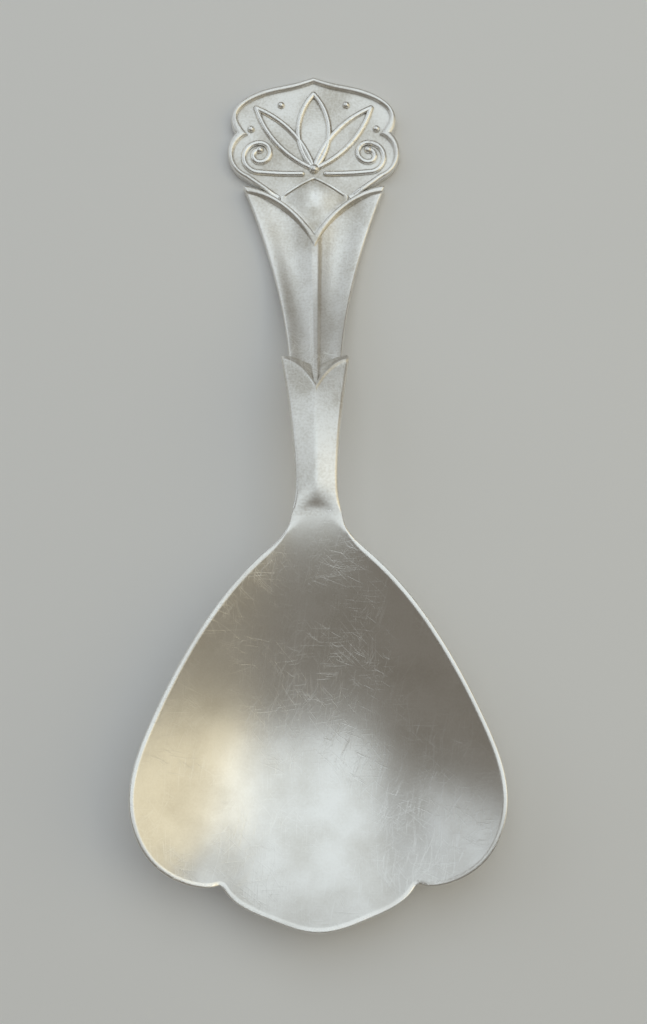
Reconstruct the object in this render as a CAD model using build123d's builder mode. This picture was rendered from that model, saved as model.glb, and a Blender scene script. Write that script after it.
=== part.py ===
"""Sugar spoon, made up on the bench from separate pieces of silver.

A shallow bowl with a three-lobed front is soldered to a stem in two parts. The lower stem is a leaf sheath:
its drop runs under the bowl, and its mouth is a socket for the upper stem. The upper stem flares into a calyx
of two hollow leaves, and a lobed terminal plate is half-lapped into the calyx. A border, a bud and a foliate
ornament are applied to the face of the plate.

Frame: millimetres, +Z up, the spoon lying face up on the plane Z = 0. +Y runs from the bowl to the terminal,
X = 0 is the plane of symmetry, and the origin is under the middle of the length.
"""

import os
from math import cos, exp, hypot, pi, sqrt

from build123d import *

os.makedirs("parts", exist_ok=True)

# Lengths along the spoon
BOWL_LENGTH = 53.0  # front tip to the crease at the foot of the stem
LOWER_STEM_LENGTH = 18.1  # crease to the notch of the sheath
UPPER_STEM_LENGTH = 24.4  # notch of the sheath to the notch of the calyx
TERMINAL_LENGTH = 24.5  # notch of the calyx to the apex of the terminal

# Bowl; outline points are shares of half its width and of its length from the front tip
BOWL_WIDTH = 48.4
BOWL_DEPTH = 8.6  # inside, below the plane of the rim
SHEET = 1.0  # gauge
RIM_DROP = 2.7  # fall of the rim plane from the neck to the front
FLANK = ((0.286, 0.913), (0.62, 0.738), (0.894, 0.506))
WIDEST = 0.2925
SIDE_LOBE = ((0.89, 0.172), (0.653, 0.1095))
NOTCH = (0.5186, 0.1132)
MIDDLE_LOBE = ((0.449, 0.0755), (0.257, 0.0311))
NOTCH_RADIUS = 0.35
CROSS_CURVE = 2.2  # exponent of the cross section: 2 would be a parabola
WIDTH_SHARPNESS = 1.45  # how quickly the dished form narrows away from its widest place
DEEPEST = 0.394  # place of the greatest depth along the dished form
DEPTH_SHARPNESS = 3.28
FRONT_RUNOUT = 3.0  # the dished form runs this far past the front tip
NECK_RUNOUT = 5.0  # and this far past the crease
RIDGE_HEIGHT = 0.15  # soft ridge that runs into the bowl from each notch
RIDGE_WIDTH = 2.6
RIDGE_LENGTH = 24.0
GRID = 1.4  # spacing of the points of the bowl's two faces
GRID_MARGIN = 2.7  # how far those faces reach past the outline

# Stem
NECK_WIDTH = 5.65  # at its narrowest
NECK_FLARE = 0.45  # widening on each side from there to the crease
NECK_SETBACK = 5.0  # crease to the narrowest place
NECK_THICKNESS = 2.8
ARCH_SETBACK = 7.0  # crease to the top of the arch
SHEATH_WIDTH = 9.3  # across the tips of the sheath
SHEATH_RISE = 4.6  # notch to tips
SHEATH_SWELL = 1.6  # exponent of the widening from the neck to the tips
SHEATH_STEP = 0.45  # the sheath stands this far above the upper stem
SHEATH_RIDGE = 0.55  # height of the ridge along the middle of the sheath
RIDGE_FADE = 6.0  # length over which that ridge dies away towards the crease
CALYX_WIDTH = 20.3  # across the tips of the calyx
CALYX_RISE = 7.4  # notch to tips
CALYX_THICKNESS = 2.1
EDGE_EASE = 0.35
BACK_EASE = 0.5
EDGE_LAND = 0.45  # flat edge left outside each hollow of the upper stem
RIB_WIDTH = 1.6
RIB_HEIGHT = 0.25
HOLLOW_DEPTH = 0.75  # at the calyx
HOLLOW_START = 0.35  # share of that depth at the sheath
LIP_WIDTH = 1.15  # raised edge of the calyx leaves
LIP_HEIGHT = 0.4
LEAF_CURVE = 1.8  # exponent of the leaf edges, which leave the tips flat and meet steeply in a notch

# Joints
JOINT_GAP = 0.03  # room for solder
TENON_LENGTH = 1.6  # upper stem below the notch of the sheath
SHEATH_WALL = 0.4  # wall of the socket at each side of the tenon
BACK_WALL = 0.6  # and behind it
BACK_WALL_DROP = 1.4  # that wall stops this far below the tips
DROP_LENGTH = 10.5  # tongue of the lower stem under the bowl
DROP_WIDTH = 4.8
DROP_TIP_RADIUS = 1.7
DROP_TIP_THICKNESS = 0.25
LAP_FLOOR = 0.6  # the calyx under the tail of the terminal
LAP_SETBACK = 1.0  # the lap ends this far below the place where the outline leaves the calyx

# Terminal; outline points are shares of half its width and of the height from the bud's crest to the apex
TERMINAL_WIDTH = 24.7
TERMINAL_THICKNESS = 1.3
BROW = (0.28, 0.932)
SHOULDER = (0.559, 0.881)
UPPER_LOBE = (0.96, 0.603)
WAIST = (0.911, 0.443)
LOWER_LOBE = (1.0, 0.27)
CORNER = 0.802  # share of the half width
CORNER_LIFT = 0.15  # above the line of the leaf edge where the outline leaves it
TAIL_WIDTH = 10.8  # where the outline runs into the leaf edges of the calyx
BORDER_WIDTH = 0.9
BORDER_HEIGHT = 0.6
BORDER_EASE = 0.2

# Bud and ornament; places on the terminal are shares as above
BUD_WIDTH = 9.8
BUD_SHOULDER = 6.0  # notch of the calyx to the widest place
BUD_CREST = (0.54, 0.51)  # middle of each crest line: shares across from the axis and up from the shoulder
BUD_LENGTH = 8.9
BUD_HEIGHT = 1.1
BUD_RADIUS = 15.0  # of the domed face
WIRE_RADIUS = 0.45
KNOB_RADIUS = 0.75
EYE_RADIUS = 0.6
BERRY_RADIUS = 0.55
PALMETTE_BASE = (0.0, 0.09)
MIDDLE_LEAF_TIP = (0.0, 0.833)
SIDE_LEAF_TIP = (0.67, 0.695)
SCROLL_START = (0.14, 0.045)
SCROLL_FOOT = (0.63, 0.06)
BERRIES = ((0.38, 0.725), (0.73, 0.487))
# shares of the height from the bud's crest to the apex
MIDDLE_LEAF_BULGE = 0.141
SIDE_LEAF_BULGE = 0.09
SCROLL_SAG = 0.006
SCROLL_RADII = (0.145, 0.095, 0.06)

OVERALL_LENGTH = BOWL_LENGTH + LOWER_STEM_LENGTH + UPPER_STEM_LENGTH + TERMINAL_LENGTH
Y_TIP = -OVERALL_LENGTH / 2
Y_CREASE = Y_TIP + BOWL_LENGTH
Y_NECK = Y_CREASE + NECK_SETBACK
Y_ARCH = Y_CREASE + ARCH_SETBACK
Y_DROP = Y_CREASE - DROP_LENGTH
Y_SHEATH = Y_CREASE + LOWER_STEM_LENGTH
Y_SHEATH_TIP = Y_SHEATH + SHEATH_RISE
Y_SEAM = Y_SHEATH_TIP - BACK_WALL_DROP
Y_TENON = Y_SHEATH - TENON_LENGTH
Y_CALYX = Y_SHEATH + UPPER_STEM_LENGTH
Y_CALYX_TIP = Y_CALYX + CALYX_RISE
Y_JOIN = Y_CALYX + CALYX_RISE * (1 - (1 - TAIL_WIDTH / CALYX_WIDTH) ** LEAF_CURVE)
JOIN_SLOPE = LEAF_CURVE * CALYX_RISE / (CALYX_WIDTH / 2) * (1 - TAIL_WIDTH / CALYX_WIDTH) ** (LEAF_CURVE - 1)
Y_LAP = Y_JOIN - LAP_SETBACK
Y_BUD = Y_CALYX + BUD_LENGTH
FIELD_HEIGHT = TERMINAL_LENGTH - BUD_LENGTH


# Bowl: the height of its sheet is a formula in plan


def swell(share, peak, sharpness):
    """Rises from 0 at share 0 to 1 at the peak, and falls to 0 at share 1."""
    rise = (share / peak) ** (sharpness * peak)
    fall = ((1 - share) / (1 - peak)) ** (sharpness * (1 - peak))
    return rise * fall


def bowl_share(y):
    """Place along the dished form, which is longer than the bowl by its two runouts."""
    return (y - Y_TIP + FRONT_RUNOUT) / (BOWL_LENGTH + FRONT_RUNOUT + NECK_RUNOUT)


def bowl_half_width(y):
    widest = bowl_share(Y_TIP + WIDEST * BOWL_LENGTH)
    return BOWL_WIDTH / 2 * swell(bowl_share(y), widest, WIDTH_SHARPNESS)


def bowl_plan(x_share, y_share):
    """Point of the outline, on the right-hand side."""
    return (x_share * BOWL_WIDTH / 2, Y_TIP + y_share * BOWL_LENGTH)


def dish(x, y):
    """Inside of the bowl, measured from the plane of the rim at the front."""
    notch_x, notch_y = bowl_plan(*NOTCH)
    rim = RIM_DROP * (y - Y_TIP) / BOWL_LENGTH
    depth = BOWL_DEPTH * swell(bowl_share(y), DEEPEST, DEPTH_SHARPNESS)
    across = 1 - abs(x / bowl_half_width(y)) ** CROSS_CURVE
    run = min(max((y - notch_y) / RIDGE_LENGTH, 0), 1)
    aside = (abs(x) - notch_x * (1 - run / 3)) / RIDGE_WIDTH
    ridge = RIDGE_HEIGHT * (1 - run) ** 2 * exp(-aside * aside)
    return rim - depth * across + ridge


LOWEST = min(dish(0, Y_TIP + millimetre / 10) for millimetre in range(round(BOWL_LENGTH * 10)))
NUDGE = 0.05  # step for slopes


def bowl_point(x, y, depth):
    """Point of the sheet at this depth under its inner face; the lowest point outside is at Z = 0."""
    slope_x = (dish(x + NUDGE, y) - dish(x - NUDGE, y)) / (2 * NUDGE)
    slope_y = (dish(x, y + NUDGE) - dish(x, y - NUDGE)) / (2 * NUDGE)
    sink = depth / sqrt(1 + slope_x * slope_x + slope_y * slope_y)
    return (x + slope_x * sink, y + slope_y * sink, SHEET - LOWEST + dish(x, y) - sink)


def bowl_face(depth):
    """Smooth face through a grid of points of the sheet."""
    y_first = Y_TIP - FRONT_RUNOUT * 2 / 3
    y_last = Y_CREASE + NECK_RUNOUT / 2
    rows = round((y_last - y_first) / GRID)
    columns = round(BOWL_WIDTH / GRID)
    points = []
    for row in range(rows + 1):
        y = y_first + (y_last - y_first) * row / rows
        reach = bowl_half_width(y) + GRID_MARGIN
        sides = [reach * (2 * column / columns - 1) for column in range(columns + 1)]
        points.append([bowl_point(x, y, depth) for x in sides])
    return Face.make_surface_from_array_of_points(points, tol=0.01, min_deg=3, max_deg=5)


inner_face = bowl_face(0)
outer_face = bowl_face(SHEET)
NECK_TOP = bowl_point(0, Y_CREASE, 0)[2]
CREASE_HALF_WIDTH = NECK_WIDTH / 2 + NECK_FLARE

with BuildPart() as bowl:
    with BuildSketch():
        with BuildLine():
            flank = Spline(
                (CREASE_HALF_WIDTH, Y_CREASE),
                *[bowl_plan(*place) for place in FLANK],
                bowl_plan(1, WIDEST),
                *[bowl_plan(*place) for place in SIDE_LOBE],
                bowl_plan(*NOTCH),
                tangents=[(0.15, -1), (-1, 0.5)],
            )
            Spline(
                flank @ 1,
                *[bowl_plan(*place) for place in MIDDLE_LOBE],
                (0, Y_TIP),
                tangents=[(-0.5, -1), (-1, 0)],
            )
            mirror(about=Plane.YZ)
            Line((-CREASE_HALF_WIDTH, Y_CREASE), (CREASE_HALF_WIDTH, Y_CREASE))
        make_face()
        notch_y = bowl_plan(*NOTCH)[1]
        fillet(vertices().filter_by_position(Axis.Y, notch_y - NUDGE, notch_y + NUDGE), NOTCH_RADIUS)
    extrude(amount=2 * NECK_TOP)
    split(bisect_by=outer_face, keep=Keep.BOTTOM)
    split(bisect_by=inner_face, keep=Keep.TOP)
bowl.part.label = "bowl"


# Handle: heights, widths and sections along the stem


def arch(y):
    """Height of the handle's back above the table."""
    full = 1 - cos(pi * (Y_CALYX - Y_CREASE) / (Y_CALYX - Y_ARCH))
    share = max((Y_CALYX - y) / (Y_CALYX - Y_ARCH), 0)
    return (NECK_TOP - NECK_THICKNESS) * (1 - cos(pi * share)) / full


def stem_thickness(y):
    """Thickness of the upper stem at its edges; the sheath is thicker by its step."""
    foot = NECK_THICKNESS - SHEATH_STEP
    share = min((y - Y_CREASE) / (Y_CALYX - Y_CREASE), 1)
    return foot + (CALYX_THICKNESS - foot) * share


def lower_half_width(y):
    if y < Y_NECK:
        return NECK_WIDTH / 2 + NECK_FLARE * ((Y_NECK - y) / NECK_SETBACK) ** 2
    share = (y - Y_NECK) / (Y_SHEATH_TIP - Y_NECK)
    return NECK_WIDTH / 2 + (SHEATH_WIDTH - NECK_WIDTH) / 2 * share**SHEATH_SWELL


def upper_half_width(y):
    foot = lower_half_width(Y_TENON) - SHEATH_WALL
    share = (y - Y_TENON) / (Y_CALYX_TIP - Y_TENON)
    return foot + (CALYX_WIDTH / 2 - foot) * share * share


def drop_back(y):
    """Height of the back of the tongue under the bowl, which thins out to its tip."""
    root = NECK_TOP - SHEET - arch(Y_CREASE)
    share = (Y_CREASE - y) / DROP_LENGTH
    return bowl_point(0, y, SHEET)[2] - root + (root - DROP_TIP_THICKNESS) * share


def spaced(first, last, count):
    return [first + (last - first) * step / (count - 1) for step in range(count)]


def across(y):
    """Plane across the handle whose own Y is the height above the table."""
    return Plane(origin=(0, y, 0), x_dir=(1, 0, 0), z_dir=(0, -1, 0))


def lower_section(y):
    """Roof-shaped section with a ridge along the middle."""
    half = lower_half_width(y)
    back = arch(y)
    edge = back + stem_thickness(y) + SHEATH_STEP
    ridge = edge + SHEATH_RIDGE * min((y - Y_CREASE) / RIDGE_FADE, 1)
    with BuildSketch(across(y)) as section:
        with BuildLine():
            Polyline(
                (-half + BACK_EASE, back),
                (half - BACK_EASE, back),
                (half, back + BACK_EASE),
                (half, edge - EDGE_EASE),
                (half - EDGE_EASE, edge),
                (0, ridge),
                (-half + EDGE_EASE, edge),
                (-half, edge - EDGE_EASE),
                (-half, back + BACK_EASE),
                close=True,
            )
        make_face()
    return section.sketch


def upper_section(y, grow):
    """Section with a hollow on each side of a middle rib, made larger all round by grow."""
    half = upper_half_width(y) + grow
    back = arch(y) - grow
    top = arch(y) + stem_thickness(y) + grow
    land = half - EDGE_LAND
    rib = RIB_WIDTH / 2
    hollow = HOLLOW_DEPTH * min(max((y - Y_TENON) / (Y_CALYX - Y_TENON), HOLLOW_START), 1)
    middle = (land + rib) / 2
    with BuildSketch(across(y)) as section:
        with BuildLine():
            Polyline(
                (-land, top),
                (-half, top),
                (-half, back + BACK_EASE),
                (-half + BACK_EASE, back),
                (half - BACK_EASE, back),
                (half, back + BACK_EASE),
                (half, top),
                (land, top),
            )
            ThreePointArc((land, top), (middle, top - hollow), (rib, top))
            ThreePointArc((rib, top), (0, top + RIB_HEIGHT), (-rib, top))
            ThreePointArc((-rib, top), (-middle, top - hollow), (-land, top))
        make_face()
    return section.sketch


def leaf_opening(y_notch, half_width, rise, inset):
    """Plan of everything above two leaf edges that meet in a notch, grown into the leaves by the inset."""
    steepest = LEAF_CURVE * rise / half_width
    edge = [(0, y_notch - inset * sqrt(1 + steepest * steepest))]
    for share in (0.12, 0.3, 0.55, 0.8, 1):
        slope = steepest * (1 - share) ** (LEAF_CURVE - 1)
        shift = inset / sqrt(1 + slope * slope)
        height = rise * (1 - (1 - share) ** LEAF_CURVE)
        edge.append((half_width * share + slope * shift, y_notch + height - shift))
    x_tip, y_tip = edge[-1]
    with BuildSketch() as opening:
        with BuildLine():
            Spline(*edge)
            Polyline((x_tip, y_tip), (2 * x_tip, y_tip), (2 * x_tip, y_tip + rise), (0, y_tip + rise))
            mirror(about=Plane.YZ)
        make_face()
    return opening.sketch


def calyx_opening(inset):
    return leaf_opening(Y_CALYX, CALYX_WIDTH / 2, CALYX_RISE, inset)


with BuildPart() as drop:
    with BuildSketch(Plane.YZ):
        with BuildLine():
            back = Spline(*[(y, drop_back(y)) for y in spaced(Y_DROP, Y_CREASE, 5)])
            Polyline(back @ 1, (Y_CREASE, NECK_TOP), (Y_DROP, NECK_TOP), back @ 0)
        make_face()
    extrude(amount=DROP_WIDTH, both=True)
    with BuildSketch():
        with BuildLine():
            y_round = Y_DROP + DROP_TIP_RADIUS
            tip = ThreePointArc((-DROP_TIP_RADIUS, y_round), (0, Y_DROP), (DROP_TIP_RADIUS, y_round))
            Polyline(tip @ 1, (DROP_WIDTH / 2, Y_CREASE), (-DROP_WIDTH / 2, Y_CREASE), tip @ 0)
        make_face()
    extrude(amount=NECK_TOP, mode=Mode.INTERSECT)
    split(bisect_by=outer_face, keep=Keep.TOP)

with BuildPart() as back_wall:
    with BuildSketch(Plane.YZ):
        with BuildLine():
            y_below = Y_TENON - JOINT_GAP
            face = Spline(*[(y, arch(y) + BACK_WALL) for y in spaced(y_below, Y_SEAM, 4)])
            Polyline(face @ 1, (Y_SEAM, 0), (y_below, 0), face @ 0)
        make_face()
    extrude(amount=SHEATH_WIDTH, both=True)

STEM_STATIONS = 8

with BuildPart() as socket:
    for y in spaced(Y_TENON - JOINT_GAP, Y_CALYX_TIP, STEM_STATIONS):
        add(upper_section(y, JOINT_GAP))
    loft()
    add(back_wall.part, mode=Mode.SUBTRACT)

with BuildPart() as sheath_mouth:
    with BuildSketch():
        add(leaf_opening(Y_SHEATH, SHEATH_WIDTH / 2, SHEATH_RISE, 0))
    extrude(amount=2 * NECK_TOP)
    add(back_wall.part, mode=Mode.SUBTRACT)

with BuildPart() as lower_stem:
    for y in spaced(Y_CREASE, Y_SHEATH_TIP, STEM_STATIONS):
        add(lower_section(y))
    loft()
    add(drop.part)
    add(socket.part, mode=Mode.SUBTRACT)
    add(sheath_mouth.part, mode=Mode.SUBTRACT)
lower_stem.part.label = "lower_stem"

with BuildPart() as upper_stem:
    for y in spaced(Y_TENON, Y_CALYX_TIP, STEM_STATIONS):
        add(upper_section(y, 0))
    loft()
    # raised lips along the leaf edges
    with BuildSketch(Plane.XY.offset(LAP_FLOOR)):
        with BuildLine():
            y_foot = Y_CALYX - CALYX_RISE / 2
            side = Spline(*[(upper_half_width(y), y) for y in spaced(y_foot, Y_CALYX_TIP, 4)])
            Line(side @ 0, (0, y_foot))
            Line(side @ 1, (0, Y_CALYX_TIP))
            mirror(about=Plane.YZ)
        make_face()
        add(calyx_opening(LIP_WIDTH), mode=Mode.INTERSECT)
    extrude(amount=CALYX_THICKNESS + LIP_HEIGHT - LAP_FLOOR)
    # seat for the tail of the terminal, open above the lap
    with BuildSketch(Plane.XY.offset(LAP_FLOOR)):
        add(calyx_opening(0))
    extrude(amount=2 * CALYX_THICKNESS, mode=Mode.SUBTRACT)
    with BuildSketch():
        add(calyx_opening(0))
        with Locations((0, Y_LAP)):
            Rectangle(2 * CALYX_WIDTH, CALYX_WIDTH, align=(Align.CENTER, Align.MIN), mode=Mode.INTERSECT)
    extrude(amount=LAP_FLOOR, mode=Mode.SUBTRACT)
    add(back_wall.part, mode=Mode.SUBTRACT)
    split(bisect_by=Plane.XY, keep=Keep.TOP)
upper_stem.part.label = "upper_stem"


# Terminal


def on_terminal(x_share, y_share):
    return (x_share * TERMINAL_WIDTH / 2, Y_BUD + y_share * FIELD_HEIGHT)


def terminal_outline(inset):
    """Outline of the terminal above the calyx, or the inner line of its border, with a spur at each waist."""

    def inside(place, left, down):
        x, y = on_terminal(*place)
        return (x - left * inset, y - down * inset)

    corner_x = CORNER * TERMINAL_WIDTH / 2
    corner_y = Y_JOIN + JOIN_SLOPE * (corner_x - TAIL_WIDTH / 2) + CORNER_LIFT
    corner = (corner_x - inset * 0.6, corner_y + inset * 0.7)
    y_skirt = Y_JOIN + inset * 0.8
    with BuildSketch() as outline:
        with BuildLine():
            crown = Spline(
                inside((0, 1), 0, 1),
                inside(BROW, 0.2, 1),
                inside(SHOULDER, 0.3, 1),
                inside(UPPER_LOBE, 1, 0),
                inside(WAIST, 2, 0.25),
                tangents=[(1, -0.4), (-0.7, -1)],
            )
            cheek = ThreePointArc(crown @ 1, inside(LOWER_LOBE, 1, 0), corner)
            Polyline(cheek @ 1, (TAIL_WIDTH / 2 - inset * 0.6, y_skirt), (0, y_skirt))
            mirror(about=Plane.YZ)
        make_face()
    return outline.sketch


with BuildSketch() as tail:
    add(calyx_opening(-JOINT_GAP))
    with Locations((0, Y_JOIN)):
        Rectangle(TAIL_WIDTH, 2 * CALYX_RISE, mode=Mode.INTERSECT)

with BuildPart() as terminal_plate:
    with BuildSketch():
        add(terminal_outline(0))
        add(tail.sketch)
    extrude(amount=TERMINAL_THICKNESS)
    with BuildSketch():
        add(tail.sketch)
        with Locations((0, Y_LAP + JOINT_GAP)):
            Rectangle(2 * TAIL_WIDTH, CALYX_WIDTH, align=(Align.CENTER, Align.MAX), mode=Mode.INTERSECT)
    extrude(amount=LAP_FLOOR, mode=Mode.SUBTRACT)
terminal_plate.part.label = "terminal_plate"

field = Plane.XY.offset(TERMINAL_THICKNESS)

with BuildPart() as terminal_border:
    with BuildSketch(field):
        add(terminal_outline(0))
        add(terminal_outline(BORDER_WIDTH), mode=Mode.SUBTRACT)
        with Locations((0, Y_JOIN)):
            Rectangle(TAIL_WIDTH, 3 * BORDER_WIDTH, mode=Mode.SUBTRACT)
    extrude(amount=BORDER_HEIGHT)
    chamfer(faces().sort_by(Axis.Z)[-1].edges(), BORDER_EASE)
terminal_border.part.label = "terminal_border"

with BuildPart() as bud:
    with BuildSketch(field):
        with BuildLine():
            crest_x = BUD_CREST[0] * BUD_WIDTH / 2
            crest_y = Y_CALYX + BUD_SHOULDER + BUD_CREST[1] * (BUD_LENGTH - BUD_SHOULDER)
            shoulder = (BUD_WIDTH / 2, Y_CALYX + BUD_SHOULDER)
            crest = ThreePointArc((0, Y_BUD), (crest_x, crest_y), shoulder)
            Polyline(crest @ 1, (BUD_WIDTH / 2, Y_CALYX), (0, Y_CALYX))
            mirror(about=Plane.YZ)
        make_face()
        add(calyx_opening(-JOINT_GAP), mode=Mode.INTERSECT)
    extrude(amount=BUD_HEIGHT)
    with Locations((0, Y_CALYX + BUD_SHOULDER, TERMINAL_THICKNESS + BUD_HEIGHT - BUD_RADIUS)):
        Sphere(BUD_RADIUS, mode=Mode.INTERSECT)
bud.part.label = "bud"


# Ornament: half-round wires and balls on the face of the terminal


def on_field(point):
    return (point[0], point[1], TERMINAL_THICKNESS)


def half_ball(radius):
    Sphere(radius, arc_size1=0, align=(Align.CENTER, Align.CENTER, Align.MIN))


def half_wire(start, middle, end):
    """Half-round wire lying along an arc, with rounded ends."""
    with BuildLine() as path:
        ThreePointArc(on_field(start), on_field(middle), on_field(end))
    along = path.line % 0
    with BuildSketch(Plane(origin=path.line @ 0, x_dir=(-along.Y, along.X, 0), z_dir=along)) as section:
        with BuildLine():
            CenterArc((0, 0), WIRE_RADIUS, 0, 180)
            Line((-WIRE_RADIUS, 0), (WIRE_RADIUS, 0))
        make_face()
    sweep(sections=section.sketch, path=path.line)
    with Locations(path.line @ 0, path.line @ 1):
        half_ball(WIRE_RADIUS)


def bowed(start, end, bulge):
    """Point beside the middle of a chord, to the right of its direction."""
    run_x = end[0] - start[0]
    run_y = end[1] - start[1]
    share = bulge / hypot(run_x, run_y)
    return ((start[0] + end[0]) / 2 + share * run_y, (start[1] + end[1]) / 2 - share * run_x)


with BuildPart() as palmette:
    base = on_terminal(*PALMETTE_BASE)
    side_x, side_y = SIDE_LEAF_TIP
    leaves = (
        (MIDDLE_LEAF_TIP, MIDDLE_LEAF_BULGE),
        ((side_x, side_y), SIDE_LEAF_BULGE),
        ((-side_x, side_y), SIDE_LEAF_BULGE),
    )
    for place, bulge in leaves:
        leaf_tip = on_terminal(*place)
        half_wire(base, bowed(base, leaf_tip, bulge * FIELD_HEIGHT), leaf_tip)
        half_wire(base, bowed(base, leaf_tip, -bulge * FIELD_HEIGHT), leaf_tip)
    with Locations(on_field(base)):
        half_ball(KNOB_RADIUS)
palmette.part.label = "palmette"

with BuildPart() as scroll_right:
    start = on_terminal(*SCROLL_START)
    turn = on_terminal(*SCROLL_FOOT)
    half_wire(start, bowed(start, turn, SCROLL_SAG * FIELD_HEIGHT), turn)
    # each half turn is smaller than the last and on the other side
    side = 1
    for share in SCROLL_RADII:
        radius = share * FIELD_HEIGHT
        x, y = turn
        half_wire(turn, (x + side * radius, y + side * radius), (x, y + 2 * side * radius))
        turn = (x, y + 2 * side * radius)
        side = -side
    with Locations(on_field(turn)):
        half_ball(EYE_RADIUS)
scroll_right.part.label = "scroll_right"

with BuildPart() as scroll_left:
    mirror(scroll_right.part, about=Plane.YZ)
scroll_left.part.label = "scroll_left"

with BuildPart() as berries:
    for x_share, y_share in BERRIES:
        right = on_field(on_terminal(x_share, y_share))
        left = on_field(on_terminal(-x_share, y_share))
        with Locations(right, left):
            half_ball(BERRY_RADIUS)
berries.part.label = "berries"

export_step(bowl.part, "parts/bowl.step")
export_step(lower_stem.part, "parts/lower_stem.step")
export_step(upper_stem.part, "parts/upper_stem.step")
export_step(terminal_plate.part, "parts/terminal_plate.step")
export_step(terminal_border.part, "parts/terminal_border.step")
export_step(bud.part, "parts/bud.step")
export_step(palmette.part, "parts/palmette.step")
export_step(scroll_left.part, "parts/scroll_left.step")
export_step(scroll_right.part, "parts/scroll_right.step")
export_step(berries.part, "parts/berries.step")
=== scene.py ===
"""Sugar spoon in worn silver, lying face up on a pale floor.

The pieces are built from the same sizes and formulas as the solids, with rounded edges and fine detail.
Run as a script, it registers the add-on, builds every piece and sets the stage.
"""

import bmesh
import bpy
import numpy as np
from bpy.props import FloatProperty, FloatVectorProperty, PointerProperty
from mathutils import Matrix, Vector


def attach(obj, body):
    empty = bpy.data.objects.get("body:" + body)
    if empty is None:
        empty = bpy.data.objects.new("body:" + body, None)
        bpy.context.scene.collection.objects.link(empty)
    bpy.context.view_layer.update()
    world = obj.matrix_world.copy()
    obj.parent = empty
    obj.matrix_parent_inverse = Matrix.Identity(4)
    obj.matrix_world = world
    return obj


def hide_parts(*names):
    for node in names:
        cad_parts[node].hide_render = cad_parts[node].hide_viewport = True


bl_info = {
    "name": "Sugar Spoon",
    "version": (1, 0, 0),
    "blender": (4, 5, 0),
    "location": "View3D > Sidebar > Spoon",
    "description": "Builds a silver sugar spoon and a plain stage for it",
    "category": "Object",
}

MM = 0.001
CRISP_EDGE = np.radians(50)

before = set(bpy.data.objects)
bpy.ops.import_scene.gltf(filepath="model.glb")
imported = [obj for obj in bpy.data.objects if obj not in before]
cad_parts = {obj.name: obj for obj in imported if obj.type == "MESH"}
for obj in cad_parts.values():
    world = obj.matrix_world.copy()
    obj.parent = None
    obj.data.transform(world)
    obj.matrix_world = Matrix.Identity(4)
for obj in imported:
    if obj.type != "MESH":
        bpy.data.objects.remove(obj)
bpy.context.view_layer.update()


# Settings


def length(name, millimetres, description):
    return FloatProperty(
        name=name,
        description=description,
        default=millimetres * MM,
        unit="LENGTH",
        precision=5,
    )


def colour(name, default, description):
    return FloatVectorProperty(name=name, description=description, default=default, size=3, subtype="COLOR")


class SpoonShape(bpy.types.PropertyGroup):
    """Main sizes of the spoon."""

    bowl_length: length("Bowl length", 53.0, "Front tip to the crease at the foot of the stem")
    bowl_width: length("Bowl width", 48.4, "Across the side lobes")
    bowl_depth: length("Bowl depth", 8.6, "Inside, below the plane of the rim")
    sheet: length("Sheet", 1.0, "Gauge of the bowl")
    lower_stem_length: length("Lower stem", 18.1, "Crease to the notch of the sheath")
    upper_stem_length: length("Upper stem", 24.4, "Notch of the sheath to the notch of the calyx")
    terminal_length: length("Terminal length", 24.5, "Notch of the calyx to the apex")
    neck_width: length("Neck width", 5.65, "Narrowest place of the stem")
    neck_thickness: length("Neck thickness", 2.8, "Stem at the crease")
    sheath_width: length("Sheath width", 9.3, "Across the tips of the sheath")
    calyx_width: length("Calyx width", 20.3, "Across the tips of the calyx")
    calyx_thickness: length("Calyx thickness", 2.1, "Leaves of the calyx")
    terminal_width: length("Terminal width", 24.7, "Across the lower lobes")
    terminal_thickness: length("Plate thickness", 1.3, "Plate of the terminal")


class SpoonFinish(bpy.types.PropertyGroup):
    """Look of the silver."""

    bright: colour("Bright silver", (0.90, 0.885, 0.85), "Rubbed silver")
    dull: colour("Dull silver", (0.58, 0.54, 0.47), "Toned silver")
    # its dark tone is also painted into corners as shade by the silver finishes
    tarnish_and_shade: colour("Tarnish", (0.20, 0.17, 0.13), "Dark tone left in the hollows")
    bowl_roughness: FloatProperty(name="Bowl roughness", description="Polish of the bowl", default=0.28)
    handle_roughness: FloatProperty(name="Handle roughness", description="Polish of the handle", default=0.36)


class SpoonStage(bpy.types.PropertyGroup):
    """Floor, light and camera."""

    floor: colour("Floor", (0.87, 0.865, 0.86), "Colour of the floor")
    sky: FloatProperty(name="Sky", description="Strength of the even light from all round", default=0.18)


# Curves and surfaces


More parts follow.
